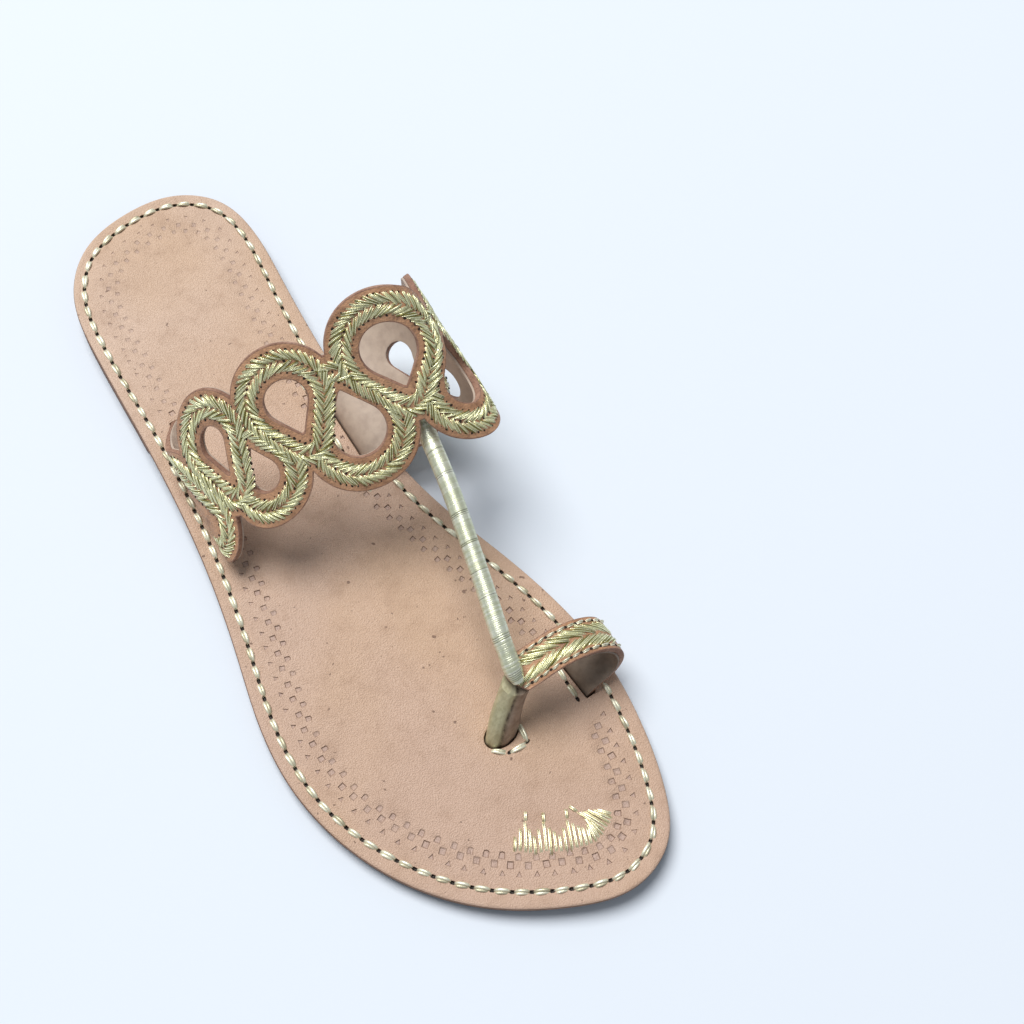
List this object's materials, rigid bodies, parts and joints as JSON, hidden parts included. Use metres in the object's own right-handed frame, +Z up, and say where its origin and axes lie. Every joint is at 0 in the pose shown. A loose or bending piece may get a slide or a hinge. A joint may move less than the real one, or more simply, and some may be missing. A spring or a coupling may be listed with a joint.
{
  "type": "kolhapuri chappal",
  "caption": "Flat leather toe-ring sandal for the right foot: slotted footbed, pierced scalloped instep band raised with thread, wrapped cord, toe post, big-toe loop and heel lift.",
  "frame": {"origin": "on the floor, under the middle of the part's bounding box", "axes": "+Z up from the floor, toe towards -Y, heel towards +Y, inner (big-toe) side towards +X"},
  "size_m": [0.104, 0.25, 0.0717],
  "materials": {
    "footbed_leather": "natural tan vegetable-tanned leather, soft sheen, stamped and worn",
    "sole_leather": "dark waxed sole leather, matt cut edge",
    "lift_leather": "brown sole leather, matt cut edge",
    "strap_leather": "brown strap leather, smooth, soft sheen",
    "post_leather": "folded leather with a dull gold face",
    "gold_thread": "flat metallic gold thread, satin, bright glints",
    "lining": "plain grey-beige lining"
  },
  "bodies": {
    "root": {"footbed": "footbed_leather", "outsole": "sole_leather", "heel_lift": "lift_leather", "instep_band": "strap_leather", "toe_loop": "strap_leather", "toe_post": "post_leather", "front_cord": "gold_thread"}
  },
  "joints": []
}
